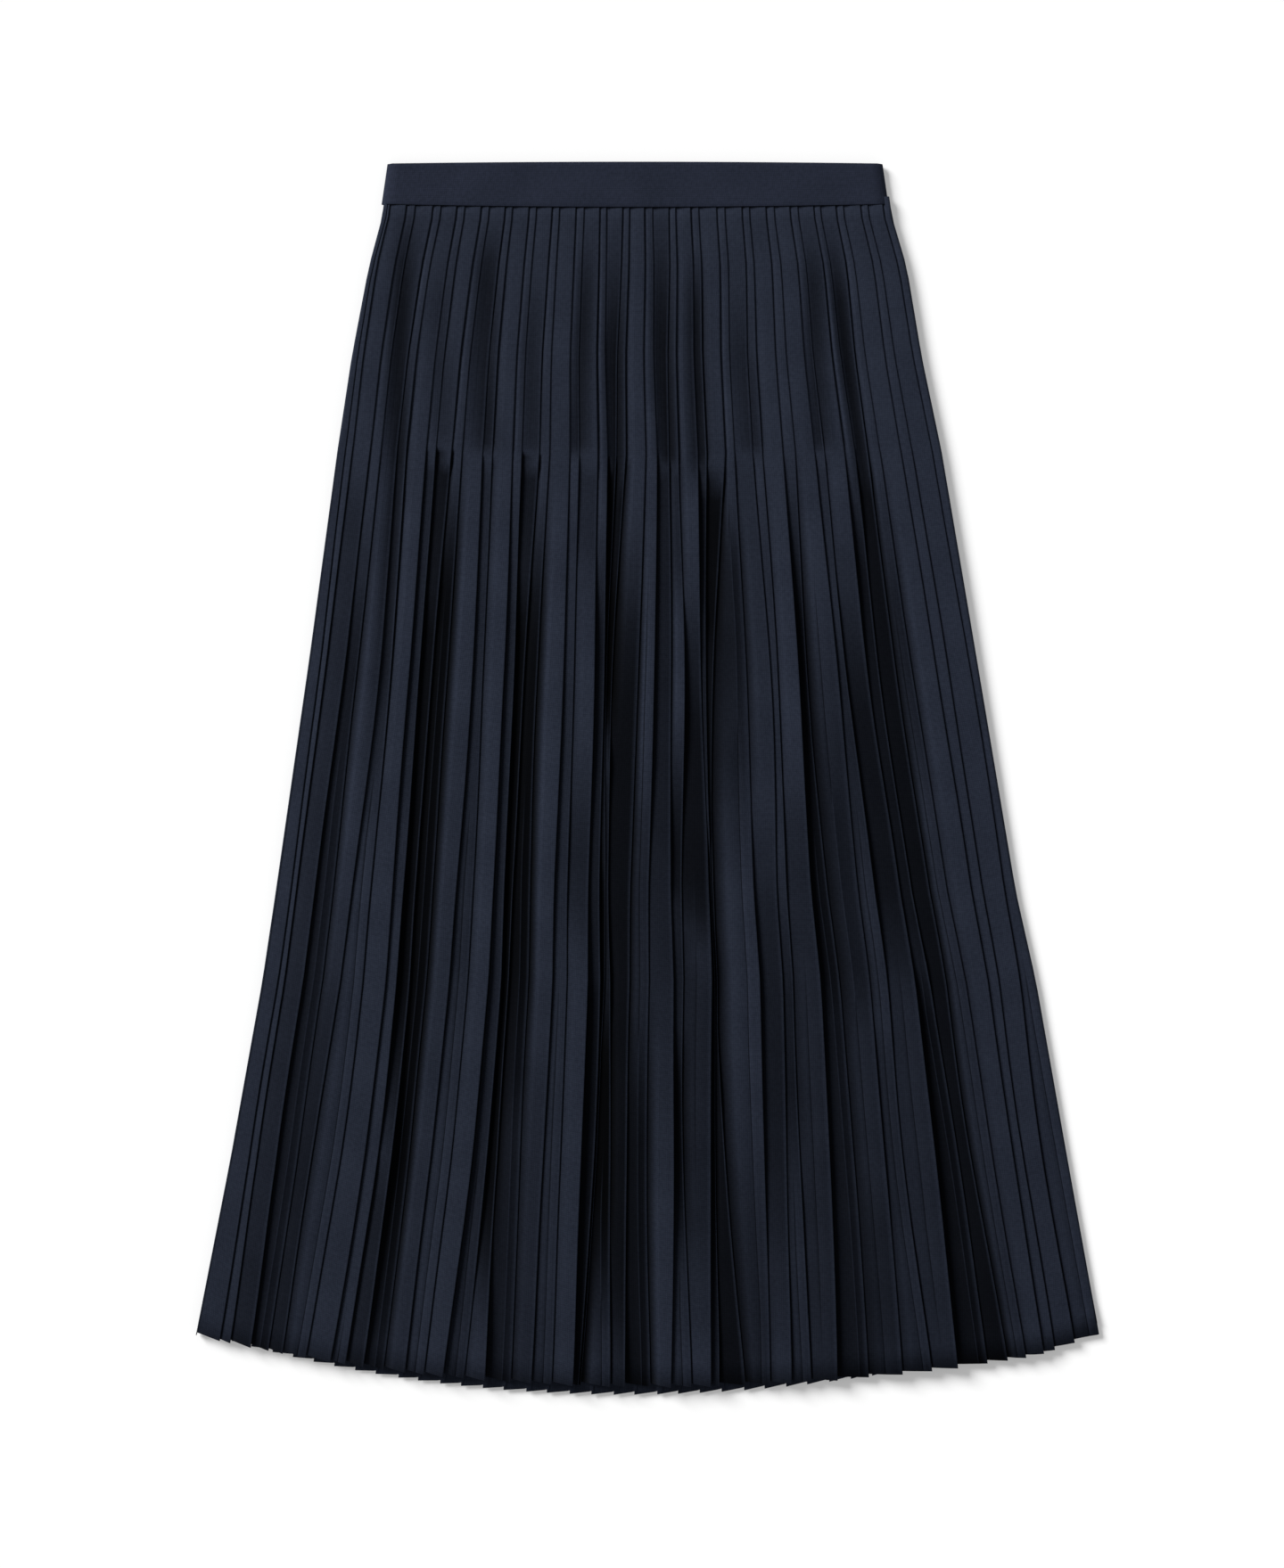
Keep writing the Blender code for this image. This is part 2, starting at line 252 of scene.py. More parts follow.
def width_at(down):
    """The panel's width at a share of the way down."""
    below = down * FRONT_HEM.drop
    return across("right", below) - across("left", below)


def place(hem, share, down):
    """X and Y, for a share of the way across and a share of the way down to this hem."""
    off_lowest = (share - hem.lowest) * HEM_WIDTH
    radius = np.where(off_lowest < 0, hem.left_radius, hem.right_radius)
    to_hem = hem.drop - off_lowest**2 / (2 * radius)
    to_hem -= hem.corner_lift * smooth((off_lowest - CORNER_FROM) / CORNER_WIDE)
    bow = BAND_FOOT_BOW * (2 * share - 1) ** 2
    below = down * to_hem - (1 - down) * bow
    left = across("left", below)
    return left + share * (across("right", below) - left), SEAM_Y - below


def glide(values, down):
    """A value from one for each level: straight to the release line, then on a smooth curve."""
    if down <= RELEASE:
        return np.interp(down, LEVELS, values)
    levels = np.array(LEVELS[1:])
    values = np.array(values[1:], dtype=float)
    slopes = np.gradient(values, levels)
    i = min(int(np.searchsorted(levels, down)), len(levels) - 1) - 1
    step = levels[i + 1] - levels[i]
    t = (down - levels[i]) / step
    rise = smooth(t)
    start = t * (1 - t) ** 2 * step * slopes[i]
    end = -t * t * (1 - t) * step * slopes[i + 1]
    return values[i] * (1 - rise) + values[i + 1] * rise + start + end


# How the panel lies on its waves, at these shares of the way down: how high the waves stand, and
# how far the cloth falls between them, though never below LOWEST. A drop starts this much further
# down at the right of its strip.
WAVE_DOWN = (0.0, RELEASE, 0.35, 0.6, 1.0)
WAVE_TOP = (6.2, 6.8, 9.0, 10.0, 9.2)
WAVE_FALL = (3.0, 3.6, 4.5, 5.0, 3.6)
LOWEST = 1.8
DROP_SLANT = 0.014

# The side folds, at the same shares: how high each is, and over what width the panel slopes to it.
LEFT_SIDE = (6.6, 6.8, 6.8, 7.0, 7.2)
RIGHT_SIDE = (6.6, 6.8, 6.8, 5.0, 3.8)
SIDE_SLOPE = (45, 45, 45, 55, 80)
SIDE_FOOT = 2.0
# Their rounds: in from the edge and up from the foot, then in from the edge and down from the rim.
# The first face starts a little lower than the rim and in from it, and the last ends in from it.
FOOT_ROUND = ((0.1, 0.0), (0.0, 0.5))
RIM_ROUND = ((0.0, 1.6), (0.35, 0.5))
LEFT_DIP = 0.1
LEFT_MARGIN = 0.8
RIGHT_MARGIN = 1.1

# The folds, at these shares of the way down: how far the cloth goes back under a wide one and under
# a narrow one, and how much higher than its stack each stands.
LOOSE_DOWN = (RELEASE, 0.225, 0.4, 0.6, 1.0)
WIDE_RETURN = (7.8, 7.4, 6.5, 4.5, 1.4)
NARROW_RETURN = (2.6, 2.8, 3.0, 3.2, 3.4)
WIDE_STAND = (0.05, 0.35, 0.7, 1.1, 1.6)
NARROW_STAND = (0.0, 0.2, 0.3, 0.4, 0.5)
# A fold stands less where it has dropped, and where there is little space before it.
DROPPED_STAND = 0.3
STAND_SPACE = 4.0
LEAST_SPACE = 1.6
RETURN_MARGIN = 0.8
# The rounds of a fold: how far the outer one stands past it and tucks in under it, and how far the
# one behind it does. The next face shows from EMERGES past the fold.
ROUND = 0.07
TUCK = 0.05
INNER_TUCK = 0.03
EMERGES = 0.35

# A face bellies up between its folds, and climbs out from under the fold before it in its first
# part. The cloth behind a fold is pulled up in full where the face is so wide.
BELLY = 0.55
CLIMB = 0.5
FULL_PULL = 12

# Pressing leaves the mark of each fold on the face below it, this far from that face's own fold and
# within this part of the face. It comes in on a face that is MARK_ROOM times as wide as that.
WIDE_MARK = 11.5
NARROW_MARK = 6.0
MARK_WITHIN = (0.45, 0.7)
MARK_HALF = 0.5
MARK_SHARE = 0.1
MARK_ROOM = 1.5
MARK_COMES = 0.2
# The mark is a groove pressed in this deep, and shade is painted into it by this share of the way to
# full shade.
MARK_DEPTH = 0.3
MARK_PAINTED_SHADE = 0.75
# On a strip that has dropped deep the mark is a crest, not a groove. At each fold's crest, and at
# such a mark, part of the painted shade is taken off: a painted highlight where the crest stands up
# into the light.
DEEP = 0.5
CREST_SHADE = 0.45

# Where a section has its points, as shares of a face: before and after the mark, and on the cloth
# behind the fold. The crevice beside the fold before it and the crest at its own fold are so wide,
# and at most so great a share; the crevice widens where the cloth comes loose.
BEFORE_MARK = (0.2, 0.33)
AFTER_MARK = 0.84
BEHIND_FOLD = (0.12, 0.55)
CREVICE_WIDE = (0.5, 1.1)
CREVICE_SHARE = 0.12
CREST_WIDE = 0.6
CREST_SHARE = 0.08
HOLLOW_STEPS = 8
# Painted shade: how much is painted into a crevice at the shares of LOOSE_DOWN, into the round of a
# fold, and into its top as a share of its face's, and over what share of a face the painted shade of
# a deeper strip before it fades.
CREVICE_PAINTED_SHADE = (0.05, 0.5, 0.6, 0.66, 0.72)
ROUND_PAINTED_SHADE = 0.3
TOP_PAINTED_SHADE = 0.1
SHADE_FADE = 0.4
# Towards the hem shade is painted over the whole panel, a little more the lower it is.
HEM_PAINTED_SHADE = 0.11
HEM_PAINTED_SHADE_FROM = 0.45
HEM_PAINTED_SHADE_OVER = 0.5


def how_deep(row, down):
    """The depth of a hollow or a drop at a share of the way down."""
    comes = smooth((down - row.begins) / (row.full - row.begins))
    goes = smooth((down - row.holds) / (row.ends - row.holds))
    return row.depth * comes * (1 - goes)


def hollows_across(places, down):
    """0 on a wave and 1 at the bottom of the deepest hollow, at places counted in strips."""
    deepest = np.zeros(len(places))
    for row in FRONT_HOLLOWS:
        middle = np.interp(down, (row.begins, row.ends), (row.start, row.finish))
        beside = 1 - smooth(np.abs(places - middle) / (1.25 * row.reach))
        deepest = np.maximum(deepest, how_deep(row, down) * beside)
    return deepest


def drop_at(strip, down):
    """How far a strip has dropped at a share of the way down: its deepest row counts."""
    return max([0.0] + [how_deep(row, down) for row in FRONT_DROPS if row.strip == strip])


def front_folds(down):
    """How far from the left edge each fold lies, wide and narrow in turn."""
    width = width_at(down)
    folds = []
    for row in FRONT_PAIRS:
        wide = (FIRST_WIDE + row.number * PAIR_PITCH) * width + glide(row.slid, down)
        folds += [wide, wide + glide(row.narrow, down)]
    return folds[:-1]


def pleated_row(down, folds, stands, wander):
    """One section across the panel, from the left edge to the right, outer side up.

    Its four columns are millimetres across, height, how far the hem is pulled up there, and depth.
    Depth is painted shade: 0 on a wave and 1 at the bottom between pleats, where little light comes,
    and the colour is darkened by it.
    """
    width = width_at(down)
    wave = np.interp(down, WAVE_DOWN, WAVE_TOP)
    fall = np.interp(down, WAVE_DOWN, WAVE_FALL)
    left_side, right_side = (np.interp(down, WAVE_DOWN, side) for side in (LEFT_SIDE, RIGHT_SIDE))
    slope = np.interp(down, WAVE_DOWN, SIDE_SLOPE)
    strips = len(folds) + 1
    drops = [(drop_at(i, down), drop_at(i, down - DROP_SLANT)) for i in range(strips)]
    hollows = hollows_across(np.linspace(0, strips, HOLLOW_STEPS * strips + 1), down)
    hem_light = 1 - HEM_PAINTED_SHADE * smooth((down - HEM_PAINTED_SHADE_FROM) / HEM_PAINTED_SHADE_OVER)
    crevice_wide = np.interp(down, LOOSE_DOWN[:2], CREVICE_WIDE)
    crevice_painted_shade = np.interp(down, LOOSE_DOWN, CREVICE_PAINTED_SHADE)

    def depth(strip, s):
        """How far the panel has fallen there, at a share s of the way across a strip."""
        left, right = drops[strip]
        nearest = min(round(HOLLOW_STEPS * (strip + s)), len(hollows) - 1)
        return max(left + s * (right - left), hollows[nearest])

    def ground(strip, s, x):
        """The height of the panel there, without its pleats' stack."""
        side = right_side if x > width / 2 else left_side
        inwards = smooth(min(x, width - x) / slope)
        return side + (wave - fall * depth(strip, s) - side) * inwards

    rim = ground(0, 0, 0) + STACK
    line = [(inset, SIDE_FOOT + up, 0, 0) for inset, up in FOOT_ROUND]
    line += [(inset, rim - under, 0, 0) for inset, under in RIM_ROUND]
    floor = rim - LEFT_DIP
    before = LEFT_MARGIN
    earlier = 0.0
    for i, fold in enumerate(folds + [width - RIGHT_MARGIN]):
        last = i == len(folds)
        wide = i % 2 == 0
        if not last:
            fold = max(fold + wander[i], before + LEAST_SPACE)
        own = max(drops[i])
        back = np.interp(down, LOOSE_DOWN, WIDE_RETURN if wide else NARROW_RETURN)
        inner = fold - min(back, fold - before - RETURN_MARGIN)
        stand = 0.0
        if not last:
            stand = np.interp(down, LOOSE_DOWN, WIDE_STAND if wide else NARROW_STAND) * stands[i]
            stand *= smooth((fold - before - LEAST_SPACE) / STAND_SPACE) * (1 - DROPPED_STAND * own)
        start = before + EMERGES
        reach = fold - start
        ground_start, ground_end = ground(i, 0, start), ground(i, 1, fold)
        top = ground_end + STACK + stand
        climb = max(ground_start - floor, 0)

        def face(x):
            """The height of this pleat's face."""
            s = max((x - start) / reach, 0.0)
            rise = (1 - BELLY) * s + BELLY * s * (2 - s)
            hollow = ground(i, s, x) - ground_start - s * (ground_end - ground_start)
            return floor + climb * smooth(s / CLIMB) + (top - floor - climb) * rise + hollow

        def painted_shade(s):
            """The shade painted into this face at s: a deeper strip before it paints its shade over
            it as well.
            """
            beside = (earlier - own) * (1 - smooth(s / SHADE_FADE))
            return 1 - (1 - max(depth(i, s), own + beside if beside > 0 else 0)) * hem_light

        # The face, with its mark.
        printed = WIDE_MARK if wide else NARROW_MARK
        pressed = smooth((reach / printed - MARK_ROOM) / MARK_COMES)
        mark = np.clip(1 - printed / reach, *MARK_WITHIN)
        half = min(MARK_HALF / reach, MARK_SHARE)
        pulled = min(reach / FULL_PULL, 1)
        # The crevice beside the fold before gets painted shade.
        line.append((start, face(start), pulled, crevice_painted_shade + (1 - crevice_painted_shade) * painted_shade(0)))
        crevice = min(crevice_wide / reach, CREVICE_SHARE)
        crest = 1 - min(CREST_WIDE / reach, CREST_SHARE)
        for s in (crevice, *BEFORE_MARK, mark - half, mark, mark + half, AFTER_MARK, crest):
            x = start + s * reach
            height = face(x)
            # At the crest part of the painted shade is taken off, a painted highlight.
            shade = painted_shade(s) * (CREST_SHADE if s == crest else 1)
            # The mark: a groove with painted shade, or on a dropped strip a crest with a painted
            # highlight.
            if s == mark and own < DEEP:
                height -= MARK_DEPTH * pressed
                shade += (1 - shade) * MARK_PAINTED_SHADE * pressed
            elif s == mark:
                height += MARK_DEPTH * pressed
                shade *= 1 - pressed * (1 - CREST_SHADE)
            line.append((x, height, pulled * (1 - s), shade))
        if last:
            break

        # The fold, the cloth that goes back under it, and the turn to the next face.
        line.append((fold, top, 0, TOP_PAINTED_SHADE * painted_shade(1)))
        lowest_face = min(face((inner + fold) / 2), face(inner))
        floor = max(min(ground(i + 1, 0, fold), lowest_face - STACK), LOWEST)
        line.append((fold + ROUND, top - LAYER / 2, 0, ROUND_PAINTED_SHADE))
        line.append((fold - TUCK, top - LAYER, 0, 1))
        for s in BEHIND_FOLD:
            x = fold - TUCK + s * (inner - fold)
            straight = top - LAYER + s * (floor + LAYER - (top - LAYER))
            line.append((x, min(straight, face(x) - LAYER), s, 1))
        line.append((inner + INNER_TUCK, floor + LAYER, 1, 1))
        line.append((inner - ROUND, floor + LAYER / 2, 1, 1))
        line.append((inner + INNER_TUCK, floor, 1, 1))
        line.append((inner + EMERGES, floor, 1, 1))
        before = fold
        earlier = own
    rim = face(fold)
    line += [(width - inset, rim - under, 0, 0) for inset, under in reversed(RIM_ROUND)]
    line += [(width - inset, SIDE_FOOT + up, 0, 0) for inset, up in reversed(FOOT_ROUND)]
    return np.array(line)


def cloth_sheet(name, hem, downs, sections, thickness):
    """A sheet of cloth through its sections: a grid moved into place, with a UV map in metres."""
    rows = []
    for down, section in zip(downs, sections):
        x, y = place(hem, section[:, 0] / width_at(down), down)
        y += section[:, 2] * HEM_STEP * max(down, 0)
        rows.append(np.stack([x, y, section[:, 1]], axis=1) * MM)
    rows = np.array(rows)
    columns = rows.shape[1]
    bm = bmesh.new()
    bmesh.ops.create_grid(bm, x_segments=columns - 1, y_segments=len(rows) - 1, size=0.5)
    steps = np.linalg.norm(np.diff(rows, axis=1), axis=2)
    along = np.concatenate([np.zeros((len(rows), 1)), np.cumsum(steps, axis=1)], axis=1)
    along -= along[:, -1:] / 2
    uv = bm.loops.layers.uv.new("cloth")
    # Each section's fourth column is kept as the depth attribute: shade that the material paints into
    # the colour.
    depth = bm.verts.layers.float.new("depth")
    for vert in bm.verts:
        i = round((vert.co.y + 0.5) * (len(rows) - 1))
        j = round((vert.co.x + 0.5) * (columns - 1))
        row = len(rows) - 1 - i
        vert.co = rows[row, j]
        vert[depth] = sections[row][j, 3]
        for loop in vert.link_loops:
            loop[uv].uv = (along[row, j], -downs[row] * hem.drop * MM)
    for face in bm.faces:
        face.smooth = True
    mesh = bpy.data.meshes.new(name)
    bm.to_mesh(mesh)
    bm.free()
    piece = bpy.data.objects.new(name, mesh)
    bpy.context.scene.collection.objects.link(piece)
    wall = piece.modifiers.new("wall", "SOLIDIFY")
    wall.thickness = thickness * MM
    wall.offset = 0
    return piece


def linear(code):
    """An sRGB hex colour as linear RGBA."""
    parts = [int(code[i : i + 2], 16) / 255 for i in (1, 3, 5)]
    return (*[c / 12.92 if c <= 0.04045 else ((c + 0.055) / 1.055) ** 2.4 for c in parts], 1.0)


def node(tree, kind, inputs=(), **settings):
    """Adds a node: settings are its own, and each input is a number, a colour or a socket."""
    made = tree.nodes.new("ShaderNode" + kind)
    for name, value in settings.items():
        setattr(made, name, value)
    for socket, value in dict(inputs).items():
        if isinstance(value, bpy.types.NodeSocket):
            tree.links.new(value, made.inputs[socket])
        else:
            made.inputs[socket].default_value = value
    return made


# The weave is drawn coarse enough to show: the real threads are 0.3 mm apart. A wave texture has
# one band for each 2 pi / 20 of its scaled length. Slubs are thicker threads, and clouds are where
# the dye took a little more.
THREAD_PITCH = 1.3
THREAD_WAVES = 2 * math.pi / 20 / (THREAD_PITCH * MM)
THREAD_SHARE = 0.5
SLUB_SIZE = 2.38
CLOUD_SIZE = 38.5
CLOUD_SHARE = 0.6
DYE_FROM = 0.6
DYE_TO = 1.6
GRAIN_RELIEF = 0.3
# How much shade the depth attribute paints into the pleated crepe's colour.
PAINTED_FOLD_SHADE = 0.74


def crepe(name, dye, deep_dye, paints_fold_shade):
    """Polyester crepe, plain woven: matt and nearly smooth, with a fine even grain.

    Between pleats shade is painted into the colour, from the depth attribute: the colour is scaled by
    the square of the light left there.
    """
    material = bpy.data.materials.new(name)
    material.use_nodes = True
    tree = material.node_tree
    shader = tree.nodes["Principled BSDF"]
    cloth = node(tree, "UVMap", uv_map="cloth").outputs["UV"]
    threads = {"Vector": cloth, "Scale": THREAD_WAVES, "Distortion": 0.6, "Detail": 1.0}
    warp = node(tree, "TexWave", threads, bands_direction="X").outputs["Fac"]
    weft = node(tree, "TexWave", threads, bands_direction="Y").outputs["Fac"]
    weave = node(tree, "Math", {0: warp, 1: weft}, operation="MULTIPLY").outputs[0]
    slubs = {"Vector": cloth, "Scale": 1 / (SLUB_SIZE * MM), "Detail": 3.0}
    slub = node(tree, "TexNoise", slubs).outputs["Fac"]
    clouds = {"Vector": cloth, "Scale": 1 / (CLOUD_SIZE * MM), "Detail": 2.0}
    cloud = node(tree, "TexNoise", clouds).outputs["Fac"]
    surface = {0: weave, 1: THREAD_SHARE, 2: slub}
    grain = node(tree, "Math", surface, operation="MULTIPLY_ADD").outputs[0]
    uptake = {0: cloud, 1: CLOUD_SHARE, 2: grain}
    tone = node(tree, "Math", uptake, operation="MULTIPLY_ADD").outputs[0]
    shade = node(tree, "MapRange", {"Value": tone, "From Min": DYE_FROM, "From Max": DYE_TO})
    mix = node(tree, "Mix", {"Factor": shade.outputs["Result"]}, data_type="RGBA")
    mix.inputs["A"].default_value = linear(deep_dye)
    mix.inputs["B"].default_value = linear(dye)
    colour = mix.outputs["Result"]
    # Painted shade: the colour is darkened by the depth attribute between the pleats.
    if paints_fold_shade:
        depth = node(tree, "Attribute", attribute_name="depth").outputs["Fac"]
        left = {0: depth, 1: -PAINTED_FOLD_SHADE, 2: 1.0}
        light = node(tree, "Math", left, operation="MULTIPLY_ADD").outputs[0]
        light = node(tree, "Math", {0: light, 1: light}, operation="MULTIPLY").outputs[0]
        dimmed = {0: colour, "Scale": light}
        colour = node(tree, "VectorMath", dimmed, operation="SCALE").outputs[0]
    tree.links.new(colour, shader.inputs["Base Color"])
    relief = {"Height": grain, "Strength": 0.25, "Distance": GRAIN_RELIEF * MM}
    tree.links.new(node(tree, "Bump", relief).outputs["Normal"], shader.inputs["Normal"])
    shader.inputs["Roughness"].default_value = 0.75
    shader.inputs["Specular IOR Level"].default_value = 0.02
    shader.inputs["Sheen Weight"].default_value = 0.01
    shader.inputs["Sheen Roughness"].default_value = 0.4
    return material


pleated_crepe = crepe("navy_pleated_crepe_painted_shade", "#272c38", "#1a1e28", paints_fold_shade=True)

# The sheet's rows, as shares of the way down. It begins a little above the seam, under the band,
# and its rows are closest at the release line, where the pleats open.
TOP_EDGE = -0.007
FRONT_DOWNS = np.concatenate(
    [
        np.linspace(TOP_EDGE, 0.195, 12),
        (0.203, 0.2085, 0.2105, 0.2135, 0.22, 0.232, 0.25, 0.27),
        np.linspace(0.29, 1.0, 36),
    ]
)

# No fold is quite straight: each wanders in a slow wave and a quicker, smaller one.
WANDER_DOWN = (0.0, RELEASE, 0.4)
FRONT_WANDER = (0.0, 0.15, 0.45)
SLOW = 9
QUICK = 23
uneven = np.random.default_rng(7)
folds_in_all = 2 * len(FRONT_PAIRS) - 1
phases = uneven.uniform(0, 2 * math.pi, (2, folds_in_all))
front_stands = [row.stand if wide else 1.0 for row in FRONT_PAIRS for wide in (True, False)]
front_sections = []
for down in FRONT_DOWNS:
    drift = np.interp(down, WANDER_DOWN, FRONT_WANDER)
    wander = drift * (np.sin(SLOW * down + phases[0]) + 0.5 * np.sin(QUICK * down + phases[1]))
    folds = front_folds(max(down, 0.0))
    front_sections.append(pleated_row(down, folds, front_stands, wander))

front = cloth_sheet("front_panel_cloth", FRONT_HEM, FRONT_DOWNS, front_sections, CLOTH)
front.data.materials.append(pleated_crepe)
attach(front, "root")
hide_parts("front_panel")

# ---- The back panel ---------------------------------------------------------------------------
# The same pleated crepe with 42 folds, lying face down under the front. The weight on it keeps them
# even and flat, but for its hem, which hangs a little lower than the front's and curls up.
BACK_HEM = Hem(drop=798.5, left_radius=960.0, right_radius=1060.0, lowest=0.474, corner_lift=0.0)
BACK_DOWNS = np.concatenate([np.linspace(TOP_EDGE, 0.2, 8), np.linspace(0.22, 1.0, 22)])
BACK_NARROW = (5.4, 6.8, 8.6, 10.4, 12.2, 14.0)
BACK_WANDER = (0.0, 0.15, 0.4)
BACK_SLOW = 8
BACK_MARGIN = 1.2
BACK_CURL = 3.4
CURL_FROM = 0.93

# A face starts low, as it comes out from under a fold, and then rises: distance from its start,
# height as a share of the stack, and how far the hem is pulled up there.
FLAT_START = 0.1
FLAT_RISE = ((1.0, 0.7, 0.5), (1.9, 1.0, 0.45))
FLAT_LAST_RISE = 1.6
FLAT_RIM = 0.3
FLAT_EDGE = -0.6
PULLED = 0.6
BACK_PULL = 1.7


def back_row(down, wander):
    """One section across the back panel, in the same four columns as the front's."""
    width = width_at(down)
    narrow = glide(BACK_NARROW, max(down, 0.0))
    folds = []
    for pair in range(len(FRONT_PAIRS)):
        wide = (FIRST_WIDE + pair * PAIR_PITCH) * width
        folds += [wide, wide + narrow]
    # It is made face up: across, height and pull.
    line = [(0.0, FLAT_EDGE, 0), (0.0, FLAT_START, 0), (FLAT_RIM, STACK, 0)]
    before = 0.0
    for i, fold in enumerate(folds[1:-1]):
        fold += wander[i]
        back = np.interp(down, LOOSE_DOWN, NARROW_RETURN if i % 2 == 0 else WIDE_RETURN)
        inner = fold - min(back, fold - before - BACK_MARGIN)
        start = before + EMERGES
        line.append((start, FLAT_START, PULLED))
        line += [(start + past, STACK * share, pull) for past, share, pull in FLAT_RISE]
        line += [(fold - FLAT_RIM, STACK, 0), (fold, STACK, 0)]
        line += [(fold + ROUND, STACK - LAYER / 2, 0), (fold - TUCK, STACK - LAYER, 0)]
        line += [(inner + INNER_TUCK, LAYER, PULLED), (inner - ROUND, LAYER / 2, PULLED)]
        line += [(inner + INNER_TUCK, 0.0, PULLED), (inner + EMERGES, 0.0, PULLED)]
        before = fold
    line += [(before + EMERGES, FLAT_START, PULLED), (before + FLAT_LAST_RISE, STACK, 0.5)]
    line += [(width - FLAT_RIM, STACK, 0), (width, FLAT_START, 0), (width, FLAT_EDGE, 0)]
    # Then it is turned over, with its outer face on the floor.
    turned = STACK + CLOTH / 2 + BACK_CURL * smooth((down - CURL_FROM) / (1 - CURL_FROM))
    return np.array([(width - x, turned - height, pull * BACK_PULL, 0) for x, height, pull in line])


back_phases = uneven.uniform(0, 2 * math.pi, folds_in_all)
back_sections = []
for down in BACK_DOWNS:
    drift = np.interp(down, WANDER_DOWN, BACK_WANDER)
    back_sections.append(back_row(down, drift * np.sin(BACK_SLOW * down + back_phases)))
back = cloth_sheet("back_panel_cloth", BACK_HEM, BACK_DOWNS, back_sections, CLOTH)
back.data.materials.append(pleated_crepe)
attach(back, "root")
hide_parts("back_panel")

# ---- The waistband ----------------------------------------------------------------------------
# A strip of the same crepe, doubled over a firm interlining and pressed, sewn on over the pleats.
# It goes round the skirt in one, and is made here as two halves that meet at the side folds.
BAND_CLOTH = 1.2
BAND_EDGE = 0.35
BAND_TOP_Y = 413.35
BAND_TOP_WIDTH = 333.6
BAND_FOOT_WIDTH = 341.6
BAND_CENTRE_X = -8.6
BAND_TOP_BOW = 1.2
BAND_FOOT_Y = SEAM_Y + 0.1
BAND_FOLD_RADIUS = 2.6
BAND_COLUMNS = 64
BAND_ROWS = 10
# The heights of each half's outer face and of its ends.
FRONT_BAND_TOP = 7.75
FRONT_BAND_END = 4.15
BACK_BAND_TOP = 0.0
BACK_BAND_END = 4.0

smooth_crepe = crepe("navy_waistband_crepe", "#272b39", "#1a1e28", paints_fold_shade=False)


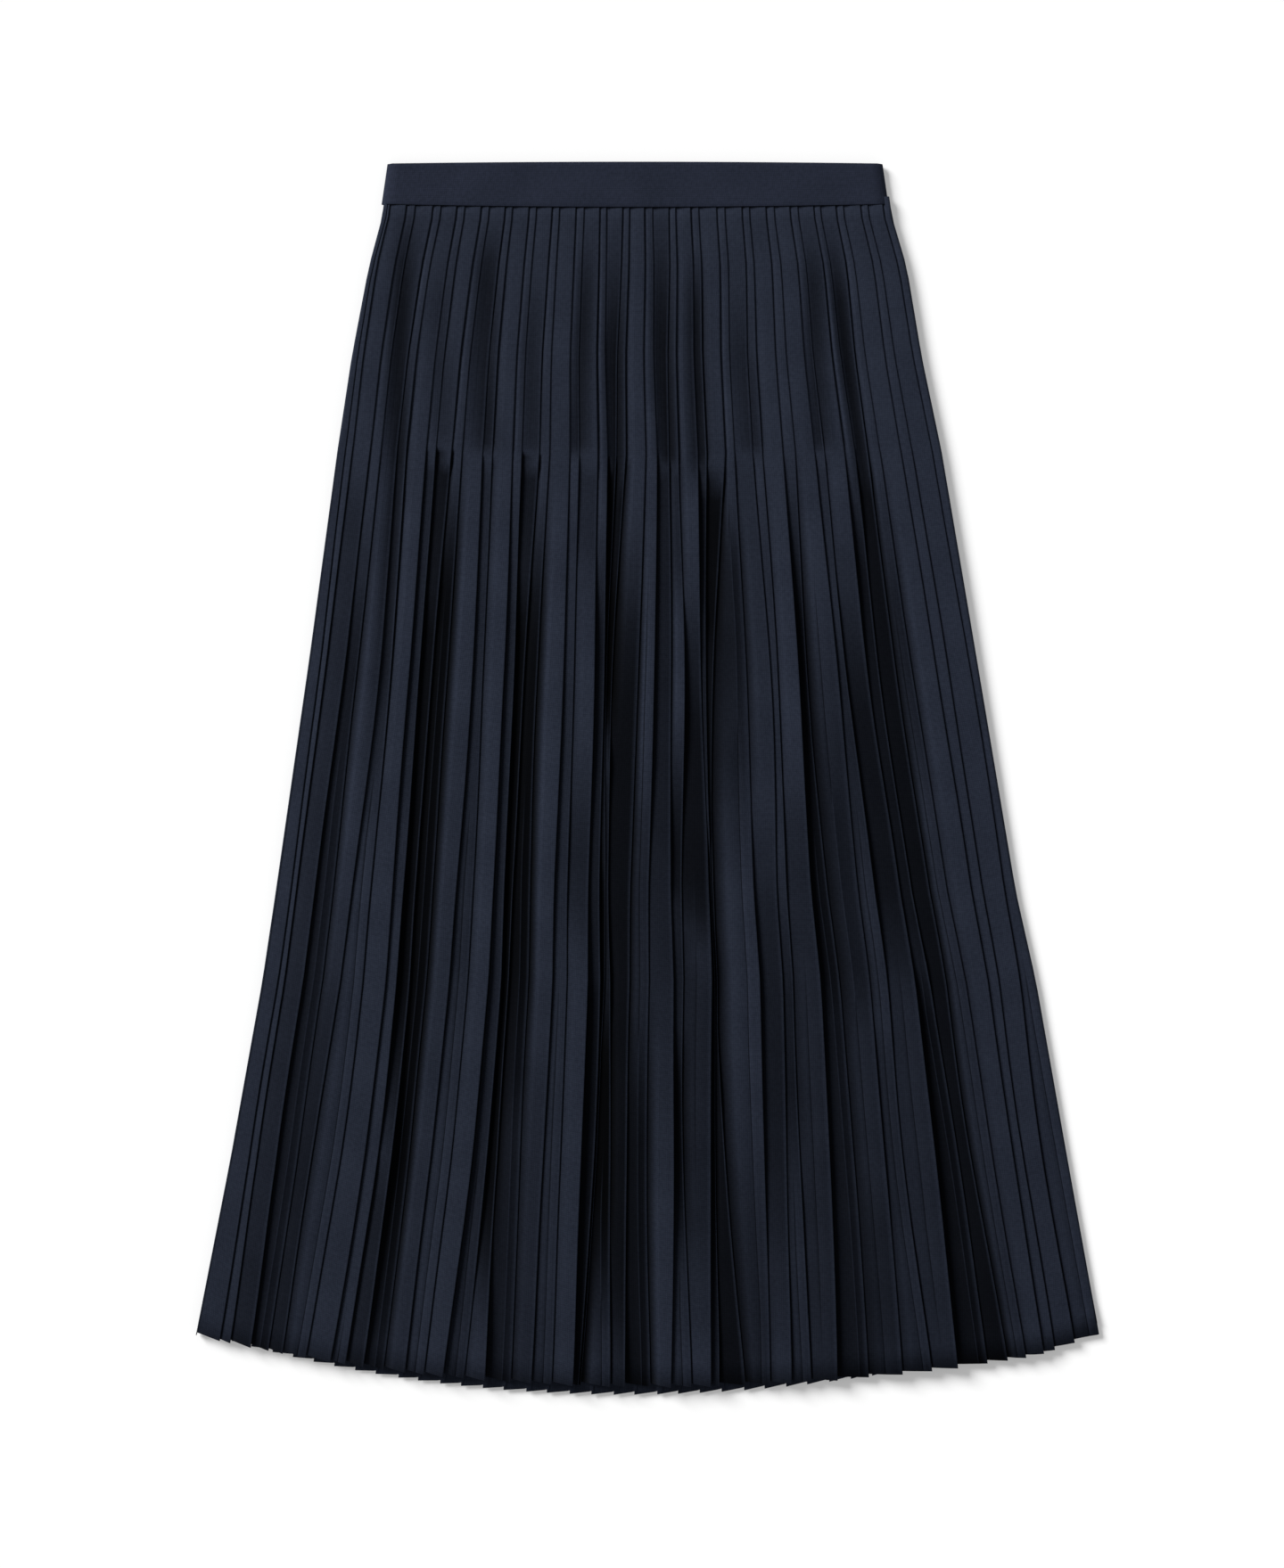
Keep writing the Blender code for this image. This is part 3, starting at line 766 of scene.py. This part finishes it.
def band(name, outer, end, node_name):
    """One half of the band, between its two ends: a flat face with a quarter turn at each side."""
    bm = bmesh.new()
    bmesh.ops.create_grid(bm, x_segments=BAND_COLUMNS, y_segments=BAND_ROWS, size=0.5)
    uv = bm.loops.layers.uv.new("cloth")
    turn = BAND_FOLD_RADIUS
    quarter = math.pi / 2 * turn
    drop = abs(outer - end) - BAND_CLOTH / 2 - turn
    up = 1 if outer > end else -1
    for vert in bm.verts:
        depth = 0.5 - vert.co.y
        half = (BAND_TOP_WIDTH + depth * (BAND_FOOT_WIDTH - BAND_TOP_WIDTH)) / 2 - BAND_CLOTH / 2
        length = 2 * (half - turn + quarter + drop)
        walked = (vert.co.x + 0.5) * length
        side = -1 if walked < length / 2 else 1
        # From the nearer end it goes up the side, round the quarter turn and along the flat.
        to_end = min(walked, length - walked)
        if to_end < drop:
            x, z = half, to_end
        elif to_end < drop + quarter:
            angle = (to_end - drop) / turn
            x, z = half - turn + turn * math.cos(angle), drop + turn * math.sin(angle)
        else:
            x, z = half - turn - (to_end - drop - quarter), drop + turn
        level = (x / half) ** 2
        upper = BAND_TOP_Y + BAND_TOP_BOW * (1 - level)
        lower = BAND_FOOT_Y + BAND_FOOT_BOW * level
        for loop in vert.link_loops:
            loop[uv].uv = (walked * MM, -depth * (upper - lower) * MM)
        vert.co = (
            (BAND_CENTRE_X + side * x) * MM,
            (upper + depth * (lower - upper)) * MM,
            (end + up * z) * MM,
        )
    for face in bm.faces:
        face.smooth = True
    if up < 0:
        bmesh.ops.reverse_faces(bm, faces=bm.faces)
    mesh = bpy.data.meshes.new(name)
    bm.to_mesh(mesh)
    bm.free()
    piece = bpy.data.objects.new(name, mesh)
    bpy.context.scene.collection.objects.link(piece)
    wall = piece.modifiers.new("wall", "SOLIDIFY")
    wall.thickness = BAND_CLOTH * MM
    wall.offset = 0
    rim = piece.modifiers.new("rim", "BEVEL")
    rim.width = BAND_EDGE * MM
    rim.segments = 2
    rim.limit_method = "ANGLE"
    rim.angle_limit = math.radians(60)
    piece.data.materials.append(smooth_crepe)
    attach(piece, "root")
    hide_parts(node_name)
    return piece


front_band = band("waistband_front_cloth", FRONT_BAND_TOP, FRONT_BAND_END, "waistband_front")
back_band = band("waistband_back_cloth", BACK_BAND_TOP, BACK_BAND_END, "waistband_back")

# ---- The floor and the studio light -------------------------------------------------------------
# A seamless white table. A broad light stands beyond the upper left, and the room fills the rest.
# The table's size is in metres, and the light's spread in degrees.
FLOOR_SIZE = 12.0
KEY_STRENGTH = 5.5
KEY_SPREAD = 26.0
KEY_FROM = (-0.62, 0.50, 0.50)
ROOM_STRENGTH = 0.36
FLOOR_GLOW = 0.25

bm = bmesh.new()
bmesh.ops.create_grid(bm, x_segments=1, y_segments=1, size=FLOOR_SIZE / 2)
mesh = bpy.data.meshes.new("floor")
bm.to_mesh(mesh)
bm.free()
floor_sheet = bpy.data.objects.new("floor", mesh)
bpy.context.scene.collection.objects.link(floor_sheet)
# Matt white acrylic, lit faintly from below, so that shadows on it stay pale.
white = bpy.data.materials.new("backlit_matt_acrylic")
white.use_nodes = True
acrylic = white.node_tree.nodes["Principled BSDF"]
acrylic.inputs["Base Color"].default_value = linear("#cbcbcb")
acrylic.inputs["Roughness"].default_value = 0.9
acrylic.inputs["Specular IOR Level"].default_value = 0.1
acrylic.inputs["Emission Color"].default_value = (1, 1, 1, 1)
acrylic.inputs["Emission Strength"].default_value = FLOOR_GLOW
mesh.materials.append(white)

key = bpy.data.lights.new("key", "SUN")
key.energy = KEY_STRENGTH
key.angle = math.radians(KEY_SPREAD)
sun = bpy.data.objects.new("key", key)
x, y, z = KEY_FROM
sun.rotation_euler = (math.atan2(math.hypot(x, y), z), 0, math.atan2(x, -y))
bpy.context.scene.collection.objects.link(sun)

room = bpy.data.worlds.new("room")
room.use_nodes = True
room.node_tree.nodes["Background"].inputs["Color"].default_value = (1, 1, 1, 1)
room.node_tree.nodes["Background"].inputs["Strength"].default_value = ROOM_STRENGTH
bpy.context.scene.world = room
bpy.context.scene.view_settings.view_transform = "Standard"
